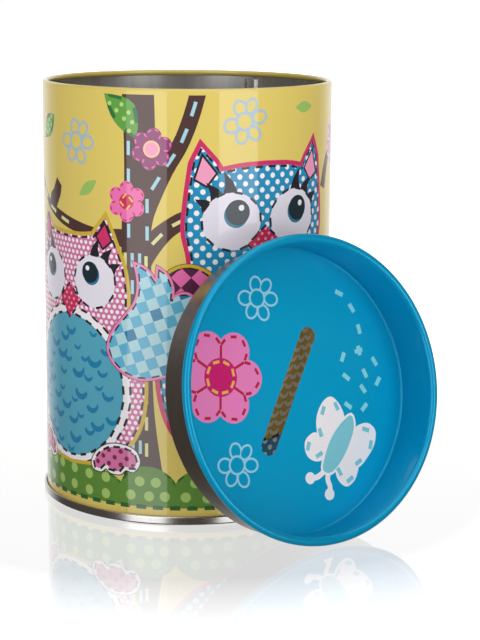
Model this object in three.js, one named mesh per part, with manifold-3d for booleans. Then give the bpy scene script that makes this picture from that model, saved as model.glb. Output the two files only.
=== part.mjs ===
// Tin money box: a seamed tinplate can with a plug lid that has a coin slot.
// Millimetres, +Z up. The can stands on the floor; the lid leans on its -Y side, standing on its own edge.
// The origin is under the middle of the whole, on the floor.
import * as THREE from 'three';
import { mergeVertices } from 'three/addons/utils/BufferGeometryUtils.js';
import Module from 'manifold-3d';

// ---- driving sizes ----
const SHEET = 0.25; // tinplate thickness
const BODY_RADIUS = 50; // outside of the body wall
const CAN_HEIGHT = 145; // floor to the crest of the top curl
const TOP_CURL = 2.0; // diameter of the inward curl round the mouth
const SEAM_HEIGHT = 2.8; // bottom double seam, floor to its top
const SEAM_GAP = 0.08; // between neighbouring layers of the double seam
const SEAM_CORNER = 0.4; // bend of the end sheet under the double seam, to its middle
const END_RECESS = 4.0; // floor to the underside of the bottom panel
const END_CORNER = 0.9; // bend from the bottom panel into its chuck wall
const BEAD_INSET = 8; // chuck wall to the foot of the bottom panel's bead
const BEAD_RISE = 0.8; // the bead lifts the middle of the panel by this much
const BEAD_RUN = 1.6; // width of the bead's slope
const LOCK_WIDTH = 5; // folded side seam, along the girth
const LOCK_LAYERS = 4; // sheets on top of each other in the side seam
const LOCK_TURN = 118.5; // degrees from the lid's side round to the side seam
const LOCK_END_GAP = 1.0; // side seam to the mouth curl, and to the bottom end
const LID_CLEARANCE = 0.2; // plug wall to the mouth, on the radius
const LID_DEPTH = 15.3; // middle of the lid's curl to the underside of its panel
const LID_CORNER = 0.875; // bend from the lid's panel into its plug wall, to its middle
const SLOT_LENGTH = 46; // coin slot, end to end
const SLOT_WIDTH = 6;
const SLOT_TURN = 31.5; // degrees from the lid's upward direction
const LEAN = 13.3; // degrees that the leaning lid is tipped back from upright
const LEAN_GAP = 0.3; // lid's back edge to the body wall

// ---- how finely round shapes are cut ----
const SIDES = 64; // round the can and the lid; a multiple of 4 keeps the extents exact
const CURL_STEP = 45; // degrees a step in the curls
const BEND_STEP = 45; // degrees a step in the small bends

// ---- derived sizes ----
const HALF = SHEET / 2;
const LAYER = SHEET + SEAM_GAP; // from one layer of the double seam to the next
const mouthRadius = BODY_RADIUS - TOP_CURL;
const curlCrestRadius = BODY_RADIUS - TOP_CURL / 2;
const bodyMid = BODY_RADIUS - HALF; // every "Mid" is the middle of the sheet
const endHookMid = bodyMid + LAYER;
const bodyHookMid = endHookMid + LAYER;
const seamWallMid = bodyHookMid + LAYER;
const chuckMid = bodyMid - LAYER;
const plugMid = mouthRadius - LID_CLEARANCE - HALF;
const lidCurlMid = curlCrestRadius - plugMid; // the lid's curl sits on the crest of the can's curl
const radians = THREE.MathUtils.degToRad;

// ---- sheet-metal profiles, as points (radius, height) along the middle of the sheet ----

/** Points round a bend, both ends included, turning from one angle to another in degrees. */
function bend(radius, height, size, from, to, step) {
  const count = Math.max(1, Math.round(Math.abs(to - from) / step));
  return Array.from({ length: count + 1 }, (_, i) => {
    const angle = radians(from + ((to - from) * i) / count);
    return new THREE.Vector2(radius + size * Math.cos(angle), height + size * Math.sin(angle));
  });
}

/** The point at index i of a sheet's middle line, moved sideways by half the sheet with a mitre. */
function mitred(line, i, side) {
  const before = line[i].clone().sub(line[Math.max(i - 1, 0)]).normalize();
  const after = line[Math.min(i + 1, line.length - 1)].clone().sub(line[i]).normalize();
  const along = before.clone().add(after).normalize();
  const reach = HALF / along.dot(i > 0 ? before : after);
  return new THREE.Vector2(line[i].x - side * along.y * reach, line[i].y + side * along.x * reach);
}

/** The closed outline of a sheet that follows a middle line; a line from the axis ends on it. */
function sheetOutline(line) {
  const one = line.map((_, i) => mitred(line, i, -1));
  const other = line.map((_, i) => mitred(line, i, 1)).reverse();
  const outline = [...one, ...other];
  if (line[0].x > 0) outline.push(outline[0].clone());
  return outline;
}

/** A closed geometry revolved about +Z from a closed outline, facing out whichever way it is drawn. */
function revolved(outline) {
  const facing = THREE.ShapeUtils.area(outline) > 0 ? outline : [...outline].reverse();
  return new THREE.LatheGeometry(facing, SIDES).rotateX(Math.PI / 2);
}

// ---- booleans ----
const wasm = await Module();
wasm.setup();

/** A closed geometry as a solid, with shared vertices merged and empty triangles dropped. */
function solid(geometry) {
  const bare = new THREE.BufferGeometry().setAttribute('position', geometry.getAttribute('position'));
  const merged = mergeVertices(geometry.index ? bare.setIndex(geometry.index) : bare, 1e-4);
  const corners = merged.index.array;
  const triangles = [];
  for (let i = 0; i < corners.length; i += 3) {
    const [a, b, c] = corners.slice(i, i + 3);
    if (a !== b && b !== c && c !== a) triangles.push(a, b, c);
  }
  return new wasm.Manifold(
    new wasm.Mesh({
      numProp: 3,
      vertProperties: merged.attributes.position.array,
      triVerts: new Uint32Array(triangles),
    }),
  );
}

/** A solid as a geometry. */
function geometryOf(made) {
  const mesh = made.getMesh();
  return new THREE.BufferGeometry()
    .setAttribute('position', new THREE.BufferAttribute(mesh.vertProperties, mesh.numProp))
    .setIndex(new THREE.BufferAttribute(mesh.triVerts, 1))
    .toNonIndexed();
}

/** A named mesh with a material of its own, flat shaded because its facets are real. */
function part(name, geometry, color, roughness, metalness) {
  geometry.computeVertexNormals();
  const material = new THREE.MeshStandardMaterial({ color, roughness, metalness, flatShading: true });
  const mesh = new THREE.Mesh(geometry, material);
  mesh.name = name;
  return mesh;
}

// ---- heights in the double seam, floor upwards ----
const seamUnderMid = HALF;
const bodyTurn = (bodyHookMid - bodyMid) / 2; // bend of the body flange under the end's hook
const bodyTurnMid = (bodyHookMid + bodyMid) / 2;
const bodyTurnHeight = SHEET + SEAM_GAP + HALF + bodyTurn;
const endTurn = (seamWallMid - endHookMid) / 2; // bend of the end's edge over the body's hook
const endTurnMid = (seamWallMid + endHookMid) / 2;
const endTurnHeight = SEAM_HEIGHT - HALF - endTurn;

/** Body wall: hook in the double seam, straight wall, inward curl round the mouth. */
function bodyWall() {
  const curl = TOP_CURL / 2 - HALF;
  const curlHeight = CAN_HEIGHT - TOP_CURL / 2;
  const curlEnd = 290; // degrees, short of the wall so that the curl stays open
  return revolved(
    sheetOutline([
      new THREE.Vector2(bodyHookMid, endTurnHeight - SEAM_GAP),
      ...bend(bodyTurnMid, bodyTurnHeight, bodyTurn, 0, -180, BEND_STEP),
      ...bend(curlCrestRadius, curlHeight, curl, 0, curlEnd, CURL_STEP),
    ]),
  );
}

/** Folded side seam: a strip of extra layers on the inside of the wall, clear of both ends. */
function sideSeam() {
  const outer = bodyMid;
  const inner = BODY_RADIUS - LOCK_LAYERS * SHEET;
  const low = END_RECESS + SHEET + BEAD_RISE + LOCK_END_GAP;
  const high = CAN_HEIGHT - TOP_CURL - LOCK_END_GAP;
  const half = LOCK_WIDTH / 2 / BODY_RADIUS; // radians
  const middle = radians(LOCK_TURN - 90); // three.js angle of the seam, from +X
  const shape = new THREE.Shape();
  shape.absarc(0, 0, outer, middle - half, middle + half, false);
  shape.absarc(0, 0, inner, middle + half, middle - half, true);
  return new THREE.ExtrudeGeometry(shape, { depth: high - low, bevelEnabled: false, curveSegments: 2 })
    .translate(0, 0, low);
}

/** Bottom end: beaded panel, chuck wall inside the body, and the seam wall hooked over the body. */
function bottomEnd() {
  const panel = END_RECESS + HALF;
  const beadFoot = chuckMid - BEAD_INSET;
  return revolved(
    sheetOutline([
      new THREE.Vector2(0, panel + BEAD_RISE),
      new THREE.Vector2(beadFoot - BEAD_RUN, panel + BEAD_RISE),
      new THREE.Vector2(beadFoot, panel),
      ...bend(chuckMid - END_CORNER, panel - END_CORNER, END_CORNER, 90, 0, BEND_STEP),
      ...bend(chuckMid + SEAM_CORNER, seamUnderMid + SEAM_CORNER, SEAM_CORNER, 180, 270, BEND_STEP),
      ...bend(seamWallMid - SEAM_CORNER, seamUnderMid + SEAM_CORNER, SEAM_CORNER, -90, 0, BEND_STEP),
      ...bend(endTurnMid, endTurnHeight, endTurn, 0, 180, BEND_STEP),
      new THREE.Vector2(endHookMid, bodyTurnHeight + SEAM_GAP),
    ]),
  );
}

/** Lid pressing: recessed panel, plug wall and outward curl; its curl's middle is at height 0. */
function lidPressing() {
  const panel = HALF - LID_DEPTH;
  const curlEnd = -115; // degrees, short of the plug wall so that the curl stays open
  return revolved(
    sheetOutline([
      new THREE.Vector2(0, panel),
      ...bend(plugMid - LID_CORNER, panel + LID_CORNER, LID_CORNER, -90, 0, BEND_STEP),
      ...bend(curlCrestRadius, 0, lidCurlMid, 180, curlEnd, CURL_STEP),
    ]),
  );
}

/** Cutter for the coin slot: a bar with round ends, through the lid's panel. */
function slotCutter() {
  const radius = SLOT_WIDTH / 2;
  const reach = SLOT_LENGTH / 2 - radius;
  const shape = new THREE.Shape();
  shape.absarc(0, reach, radius, 0, Math.PI, false);
  shape.absarc(0, -reach, radius, Math.PI, 2 * Math.PI, false);
  const depth = LID_CORNER; // well past both faces of the panel
  return new THREE.ExtrudeGeometry(shape, { depth, bevelEnabled: false, curveSegments: 6 })
    .rotateZ(-radians(SLOT_TURN))
    .translate(0, 0, HALF - LID_DEPTH - depth / 2);
}

// ---- the pieces ----
const bodyShell = part(
  'body_shell',
  geometryOf(solid(bodyWall()).add(solid(sideSeam()))),
  0xdecb78,
  0.3,
  0.2,
);
const bottom = part('bottom_end', bottomEnd(), 0xb8babc, 0.3, 0.9);
const lid = part('lid', geometryOf(solid(lidPressing()).subtract(solid(slotCutter()))), 0x008cbe, 0.3, 0.2);

// ---- where they stand ----
const can = new THREE.Group();
can.add(bodyShell, bottom);

// The leaning lid stands on the lower edge of its bend and its upper edge almost meets the body wall.
const edge = LID_CORNER + HALF; // outer bend of that edge
const lean = radians(LEAN);
const edgeDepth = LID_DEPTH - edge;
const edgeRadius = plugMid + HALF - edge;
const lidOut = BODY_RADIUS + LEAN_GAP + edge + edgeDepth * Math.cos(lean) + edgeRadius * Math.sin(lean);
const lidUp = edge + edgeDepth * Math.sin(lean) + edgeRadius * Math.cos(lean);
const leaningLid = new THREE.Group();
leaningLid.add(lid);
leaningLid.position.set(0, -lidOut, lidUp);
leaningLid.rotation.x = Math.PI / 2 - lean;

const placed = new THREE.Group();
placed.add(can, leaningLid);
const box = new THREE.Box3().setFromObject(placed, true);
placed.position.set(0, -(box.min.y + box.max.y) / 2, -box.min.z);

const moneyBox = new THREE.Group();
moneyBox.name = 'tin_money_box';
moneyBox.add(placed);

export default moneyBox;
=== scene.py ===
"""Looks of a tin money box: a printed tinplate can, its seamed end and its plug lid, on a pale studio floor.

The print is cut as one sheet of faces whose corners carry the ink's colour, then bent round the can's wall or
laid in the lid's panel. The rest of each pressing is spun from the middle line of its sheet.
"""

import logging
import math
from dataclasses import dataclass, field
from enum import Enum, IntEnum
from typing import Callable, Iterable, Optional, Sequence, Union

import bmesh
import bpy
from mathutils import Matrix, Vector, kdtree
from mathutils.geometry import delaunay_2d_cdt


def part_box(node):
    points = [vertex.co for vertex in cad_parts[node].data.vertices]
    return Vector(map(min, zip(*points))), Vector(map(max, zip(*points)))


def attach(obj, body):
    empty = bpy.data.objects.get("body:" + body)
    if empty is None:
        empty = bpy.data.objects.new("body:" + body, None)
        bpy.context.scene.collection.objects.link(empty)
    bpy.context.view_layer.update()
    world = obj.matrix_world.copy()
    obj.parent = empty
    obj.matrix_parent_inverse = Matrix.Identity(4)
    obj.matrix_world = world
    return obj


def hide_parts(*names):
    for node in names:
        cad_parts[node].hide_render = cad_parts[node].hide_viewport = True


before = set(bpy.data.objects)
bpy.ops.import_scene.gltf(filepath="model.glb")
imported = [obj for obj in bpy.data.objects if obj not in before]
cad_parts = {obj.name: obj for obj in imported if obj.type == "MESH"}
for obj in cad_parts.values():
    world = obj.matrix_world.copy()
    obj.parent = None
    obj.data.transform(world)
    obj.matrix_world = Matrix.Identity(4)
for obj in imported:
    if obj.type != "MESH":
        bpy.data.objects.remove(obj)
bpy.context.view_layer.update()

log = logging.getLogger("tin_money_box")

MM = 0.001
WELD = 2e-7  # metres; far below the smallest detail
JOIN = 1e-5  # millimetres within which the cutter takes two corners of the print for one
ROLLED_DEPTH = 0.000004  # metres; depth of the sheet's rolling lines
WAVE_DEPTH = 0.00035  # metres; unevenness of the rolled wall

Point = tuple[float, float]
Spot = tuple[float, float, float]
Outline = list[Point]
Colour = Sequence[float]
Number = Union[int, float]


# ---- sizes


@dataclass(frozen=True)
class TinSizes:
    """Driving sizes of the tin, in millimetres and degrees, as in the part's design."""

    sheet: float = 0.25
    body_radius: float = 50.0
    height: float = 145.0
    top_curl: float = 2.0
    seam_height: float = 2.8
    seam_gap: float = 0.08
    seam_corner: float = 0.4
    end_recess: float = 4.0
    end_corner: float = 0.9
    bead_inset: float = 8.0
    bead_rise: float = 0.8
    lock_width: float = 5.0
    lock_turn: float = 118.5
    lid_clearance: float = 0.2
    lid_depth: float = 15.3
    lid_corner: float = 0.875
    slot_length: float = 46.0
    slot_width: float = 6.0
    slot_turn: float = 31.5
    lean: float = 13.3
    lean_gap: float = 0.3
    columns: int = 160  # round the can and the lid

    @property
    def half(self) -> float:
        """Half the sheet."""
        return self.sheet / 2

    @property
    def layer(self) -> float:
        """From one layer of the double seam to the next."""
        return self.sheet + self.seam_gap

    @property
    def body_mid(self) -> float:
        """Radius of the body wall's middle."""
        return self.body_radius - self.half

    @property
    def crest(self) -> float:
        """Radius of both curls' crests."""
        return self.body_radius - self.top_curl / 2

    @property
    def plug_mid(self) -> float:
        """Radius of the middle of the lid's plug wall."""
        return self.body_radius - self.top_curl - self.lid_clearance - self.half

    @property
    def girth(self) -> float:
        """Once round the body wall."""
        return 2 * math.pi * self.body_radius


TIN = TinSizes()


# ---- inks


class Ink(Enum):
    """Printing inks, as display colours from 0 to 255."""

    YELLOW = (220, 198, 100)
    PEACH = (250, 196, 150)
    BARK = (76, 48, 46)
    PALE_BLUE = (160, 208, 220)
    LIME = (218, 216, 150)
    LEAF = (92, 158, 62)
    LEAF_DARK = (38, 112, 56)
    LEAF_DOT = (178, 212, 112)
    SMALL_LEAF = (150, 190, 96)
    PURPLE = (140, 62, 112)
    PINK = (232, 108, 172)
    ROSE = (238, 156, 190)
    ROSE_EDGE = (236, 128, 178)
    RED = (200, 32, 84)
    WINE = (130, 26, 70)
    ORANGE = (244, 190, 92)
    ORCHID = (208, 112, 160)
    WHITE = (240, 236, 240)
    EYE = (228, 224, 236)
    NIGHT = (30, 28, 40)
    PUPIL = (14, 40, 52)
    IRIS = (20, 120, 150)
    MUSTARD = (206, 172, 44)
    TEAL = (78, 163, 188)
    TEAL_DARK = (0, 124, 168)
    SKY = (88, 178, 212)
    MIST = (174, 216, 224)
    AZURE = (10, 140, 186)
    CRIMSON = (204, 34, 98)
    PLUM = (84, 24, 62)
    OLIVE = (196, 166, 34)
    TAUPE = (232, 214, 190)
    GRASS = (90, 138, 46)
    GRASS_DOT = (162, 196, 102)
    GRASS_DARK = (36, 100, 46)
    OUTLINE_BLUE = (164, 186, 200)
    LID_BLUE = (0, 164, 210)
    LID_WALL = (0, 150, 194)
    LID_PINK = (246, 138, 200)
    LID_WHITE = (255, 252, 255)
    LID_LINE = (160, 222, 244)
    LID_DASH = (140, 226, 238)
    STITCH = (196, 40, 72)
    LID_HEART = (214, 36, 116)
    MIST_TEAL = (136, 212, 226)

    def linear(self) -> tuple[float, float, float, float]:
        """The ink in linear light, opaque."""
        r, g, b = ((c / 255 / 12.92) if c <= 10 else ((c / 255 + 0.055) / 1.055) ** 2.4 for c in self.value)
        return r, g, b, 1.0


BARE = (0.62, 0.61, 0.59, 0.0)  # tinplate with no ink
BARE_LID_PAINTED_REFLECTION = (0.34, 0.31, 0.28, 0.0)  # tinplate with no ink, its colour darkened and browned as a painted reflection of the dark surroundings and the can's print


# ---- outlines


def ellipse(centre: Point, size: Point, turn: float = 0.0, sides: int = 20) -> Outline:
    """An ellipse.

    Args:
        centre: Its middle.
        size: Its two radii.
        turn: Degrees that it is turned anticlockwise.
        sides: Number of its corners.

    Returns:
        The corners, anticlockwise.
    """
    c, s = math.cos(math.radians(turn)), math.sin(math.radians(turn))
    corners = []
    for k in range(sides):
        a = 2 * math.pi * k / sides
        x, y = size[0] * math.cos(a), size[1] * math.sin(a)
        corners.append((centre[0] + c * x - s * y, centre[1] + s * x + c * y))
    return corners


def smooth(points: Sequence[Sequence[float]], steps: int = 4, closed: bool = True) -> list[tuple[float, ...]]:
    """A smooth curve through points, as a Catmull-Rom spline.

    Args:
        points: What it passes through.
        steps: Corners from one point to the next.
        closed: Whether it comes back to its start.

    Returns:
        The corners of the curve.
    """
    n = len(points)
    curve = []
    for i in range(n if closed else n - 1):
        near = [(i + k) % n if closed else min(max(i + k, 0), n - 1) for k in (-1, 0, 1, 2)]
        a, b, c, d = (Vector(points[j]) for j in near)
        for t in (j / steps for j in range(steps)):
            curved = (2 * a - 5 * b + 4 * c - d) * t * t + (3 * b - a - 3 * c + d) * t ** 3
            curve.append(tuple(0.5 * (2 * b + (c - a) * t + curved)))
    if not closed:
        curve.append(tuple(points[-1]))
    return curve


def ribbon(path: Sequence[Spot]) -> Outline:
    """A band that follows a smooth middle line.

    Args:
        path: Points on its middle line, each with the band's width there.

    Returns:
        The outline, one side up and the other side back.
    """
    line = smooth(path, closed=False)
    one, other = [], []
    for i, (x, y, width) in enumerate(line):
        way = Vector(line[min(i + 1, len(line) - 1)][:2]) - Vector(line[max(i - 1, 0)][:2])
        side = Vector((-way.y, way.x)).normalized() * width / 2
        one.append((x + side.x, y + side.y))
        other.append((x - side.x, y - side.y))
    return one + other[::-1]


def leaf(tip: Point, stalk: Point, left: float, right: float) -> Outline:
    """A leaf: two arcs between two tips.

    Args:
        tip: One end.
        stalk: The other end.
        left: How far it swells on the left of the way from tip to stalk.
        right: How far it swells on the right.

    Returns:
        The outline.
    """
    steps = 8
    a, b = Vector(tip), Vector(stalk)
    side = Vector((a.y - b.y, b.x - a.x)).normalized()
    rise = [math.sin(math.pi * k / steps) for k in range(steps + 1)]
    up = [a.lerp(b, k / steps) + side * left * rise[k] for k in range(steps + 1)]
    down = [b.lerp(a, k / steps) - side * right * rise[k] for k in range(1, steps)]
    return [tuple(p) for p in up + down]


def heading(turn: float) -> Vector:
    """The direction of a turn in degrees."""
    return Vector((math.cos(math.radians(turn)), math.sin(math.radians(turn))))


def on_circle(centre: Point, radius: float, turn: float) -> Point:
    """The point of a circle at a turn in degrees."""
    a = math.radians(turn)
    return centre[0] + radius * math.cos(a), centre[1] + radius * math.sin(a)


def crescent(centre: Point, size: float, turn: float) -> Outline:
    """A crescent with its horns up.

    Args:
        centre: The middle of its outer circle.
        size: Radius of that circle.
        turn: Degrees that it is turned.

    Returns:
        The outline.
    """
    turns = [turn + a for a in range(-175, -4, 17)]
    middle = (centre[0] + 0.08 * size, centre[1] + 0.42 * size)
    inner = [on_circle(middle, 0.78 * size, a) for a in turns[1:-1]]
    return [on_circle(centre, size, a) for a in turns] + inner[::-1]


def outset(outline: Sequence[Point], distance: float) -> Outline:
    """An outline moved out.

    Args:
        outline: Its corners, anticlockwise.
        distance: How far it moves; inwards where negative.

    Returns:
        The new corners.
    """
    n = len(outline)
    moved = []
    for i, (x, y) in enumerate(outline):
        before = (Vector((x, y)) - Vector(outline[i - 1])).normalized()
        after = (Vector(outline[(i + 1) % n]) - Vector((x, y))).normalized()
        way = before + after
        way = way.normalized() if way.length > 0.1 else after
        reach = distance / max(way.dot(before), 0.45)
        moved.append((x + way.y * reach, y - way.x * reach))
    return moved


def box_of(outline: Sequence[Point]) -> tuple[Point, Point]:
    """The lower left and upper right corners of an outline's box."""
    across, up = zip(*outline)
    return (min(across), min(up)), (max(across), max(up))


def mirrored(half: Sequence[Point], middle: float) -> Outline:
    """A closed outline from its right half.

    Args:
        half: Points from the top to the bottom, as distances right of the middle and heights.
        middle: Where the middle is.

    Returns:
        The whole outline, anticlockwise.
    """
    right = [(middle + x, y) for x, y in half]
    left = [(middle - x, y) for x, y in half if x > 0]
    return left + right[::-1]


def spaced(
    line: Sequence[Point], pitch: float, start: float, closed: bool,
) -> Iterable[tuple[Vector, Vector]]:
    """Places along a line.

    Args:
        line: Its corners.
        pitch: From one place to the next.
        start: From the line's start to the first place.
        closed: Whether the line comes back to its start, where the pitch is evened out.

    Yields:
        Each place and the direction of the line there.
    """
    corners = [Vector(p) for p in line] + ([Vector(line[0])] if closed else [])
    lengths = [(b - a).length for a, b in zip(corners, corners[1:])]
    total = sum(lengths)
    if closed:
        pitch = total / max(1, round(total / pitch))
    wanted, passed = start, 0.0
    for a, b, length in zip(corners, corners[1:], lengths):
        while wanted < passed + length and (not closed or wanted < total + start - pitch / 2):
            way = (b - a).normalized()
            yield a + way * (wanted - passed), way
            wanted += pitch
        passed += length


def bar(place: Vector, way: Vector, length: float, width: float) -> Outline:
    """A short straight stitch.

    Args:
        place: Its middle.
        way: Its direction.
        length: Its length.
        width: Its width.

    Returns:
        The outline.
    """
    along, across = way * length / 2, Vector((-way.y, way.x)) * width / 2
    ends = (place - along - across, place + along - across, place + along + across, place - along + across)
    return [tuple(p) for p in ends]


# ---- the print


@dataclass(frozen=True)
class Patch:
    """One flat patch of ink; with within set it shows only inside that earlier patch."""

    outline: tuple[Point, ...]
    ink: Optional[Ink]
    within: Optional[int] = None


@dataclass
class Print:
    """Overlapping patches of ink, later ones on top, in millimetres."""

    patches: list[Patch] = field(default_factory=list)

    def lay(self, outline: Sequence[Point], ink: Optional[Ink], within: Optional[int] = None) -> int:
        """Adds a patch.

        Args:
            outline: Its corners.
            ink: Its ink, or None for a hole.
            within: The patch that it is kept inside, if any.

        Returns:
            The patch's number.
        """
        turn = sum(ax * by - bx * ay for (ax, ay), (bx, by) in zip(outline, [*outline[1:], outline[0]]))
        ring = list(outline if turn > 0 else outline[::-1])
        longest = max(range(len(ring)), key=lambda i: math.dist(ring[i - 1], ring[i]))
        self.patches.append(Patch(tuple(ring[longest - 1:] + ring[:longest - 1]), ink, within))
        return len(self.patches) - 1

    def stitch(
        self, line: Sequence[Point], ink: Ink, length: float, gap: float, width: float,
        closed: bool = True, start: float = 1.0, within: Optional[int] = None,
    ) -> None:
        """Lays a row of straight stitches.

        Args:
            line: What they follow.
            ink: Their ink.
            length: Length of one stitch.
            gap: From one stitch to the next.
            width: Width of one stitch.
            closed: Whether the line comes back to its start.
            start: From the line's start to the first stitch's middle.
            within: The patch that they are kept inside, if any.
        """
        for place, way in spaced(line, length + gap, start, closed):
            self.lay(bar(place, way, length, width), ink, within)

    def disc(
        self, centre: Point, radius: float, ink: Ink, within: Optional[int] = None, sides: int = 20,
    ) -> None:
        """Lays a round patch of ink."""
        self.lay(ellipse(centre, (radius, radius), sides=sides), ink, within)

    def dots(self, low: Point, high: Point, pitch: Point, radius: float, ink: Ink, within: int) -> None:
        """Lays staggered rows of dots.

        Args:
            low: The lower left corner of the stretch.
            high: Its upper right corner.
            pitch: Dot to dot in a row, and row to row.
            radius: Radius of a dot.
            ink: Their ink.
            within: The patch that they are kept inside.
        """
        for row in range(int((high[1] - low[1]) / pitch[1]) + 1):
            for place in range(int((high[0] - low[0]) / pitch[0]) + 1):
                x = low[0] + (place + 0.5 * (row % 2)) * pitch[0]
                self.disc((x, low[1] + row * pitch[1]), radius, ink, within, 10)

    def quilt(self, outline: Outline, tile: float, turn: float, inks: tuple[Ink, Ink, Ink]) -> int:
        """Lays an outline filled with square tiles.

        Args:
            outline: What is filled.
            tile: Side of a tile.
            turn: Degrees that the tiles are turned.
            inks: The ground, every other tile, and a few of the rest.

        Returns:
            The outline's patch.
        """
        ground, other, few = inks
        wing = self.lay(outline, ground)
        low, high = map(Vector, box_of(outline))
        middle, reach = (low + high) / 2, int((high - low).length / 2 / tile) + 1
        c, s = tile * math.cos(math.radians(turn)), tile * math.sin(math.radians(turn))
        for i in range(-reach, reach):
            for j in range(-reach, reach):
                ink = other if (i + j) % 2 else few if (3 * i + 5 * j) % 7 == 0 else ground
                if ink is not ground:
                    corners = ((i, j), (i + 1, j), (i + 1, j + 1), (i, j + 1))
                    square = [(middle.x + c * a - s * b, middle.y + s * a + c * b) for a, b in corners]
                    self.lay(square, ink, wing)
        return wing

    def blossom(
        self, centre: Point, radius: float, turn: float, petal: Ink, heart: Ink, heart_size: float,
        stitch: Ink,
    ) -> None:
        """Lays a filled blossom with six stitched petals.

        Args:
            centre: Its middle.
            radius: Middle to the end of a petal.
            turn: Degrees that it is turned.
            petal: The petals' ink.
            heart: The middle's ink.
            heart_size: Radius of the middle.
            stitch: Ink of the stitches.
        """
        size = radius * 0.37
        turns = [turn + 60 * k for k in range(6)]
        spots = [on_circle(centre, radius - size, t) for t in turns]
        for spot in spots:
            self.disc(spot, size, petal)
        self.disc(centre, radius * 0.52, petal)
        for spot, turned in zip(spots, turns):
            ring = ellipse(spot, (size * 0.8,) * 2, turned, 12)
            self.stitch(ring[8:] + ring[:5], stitch, size * 0.5, size * 0.5, size * 0.2, False, size * 0.4)
        self.disc(centre, heart_size, heart)

    def line_blossom(
        self, centre: Point, radius: float, turn: float, line: Ink, ground: Ink, width: float,
    ) -> None:
        """Lays a blossom drawn as an outline with six petals.

        Args:
            centre: Its middle.
            radius: Middle to the end of a petal.
            turn: Degrees that it is turned.
            line: The outline's ink.
            ground: What shows inside it.
            width: Width of the outline.
        """
        petals = ((5, 1.03, 0.31), (56, 1.02, 0.28), (102, 0.92, 0.31), (187, 0.94, 0.33), (249, 0.94, 0.3),
                  (303, 1.0, 0.3))
        long, heart = radius * 0.36, radius * 0.4
        for ink, inset in ((line, 0.0), (ground, width)):
            for way, reach, wide in petals:
                spot = on_circle(centre, reach * radius - long, turn + way)
                self.lay(ellipse(spot, (long - inset, wide * radius - inset), turn + way, 24), ink)
        for ink, inset in ((line, 0.0), (ground, width)):
            self.disc(centre, heart - inset, ink, sides=24)

    def cut(self, lines: Sequence[tuple[Point, Point]]) -> tuple[list[Vector], list[list[int]], list[Ink]]:
        """Cuts the print into triangles along every outline and every given line.

        Args:
            lines: Straight lines that the faces may not cross.

        Returns:
            The corners, the triangles and each triangle's ink; a hole has none.
        """
        corners: list[Vector] = []
        edges: list[tuple[int, int]] = []
        faces: list[list[int]] = []
        for patch in self.patches:
            faces.append(list(range(len(corners), len(corners) + len(patch.outline))))
            corners += [Vector(p) for p in patch.outline]
        for a, b in lines:
            edges.append((len(corners), len(corners) + 1))
            corners += [Vector(a), Vector(b)]
        found = delaunay_2d_cdt(corners, edges, faces, 0, JOIN, True)
        kept, inks = [], []
        for face, covers in zip(found[2], found[5]):
            seen = set(covers)
            for number in sorted(seen, reverse=True):
                patch = self.patches[number]
                if patch.within is None or patch.within in seen:
                    if patch.ink is not None:
                        kept.append(list(face))
                        inks.append(patch.ink)
                    break
        return found[0], kept, inks


# ---- figures in the print


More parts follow.
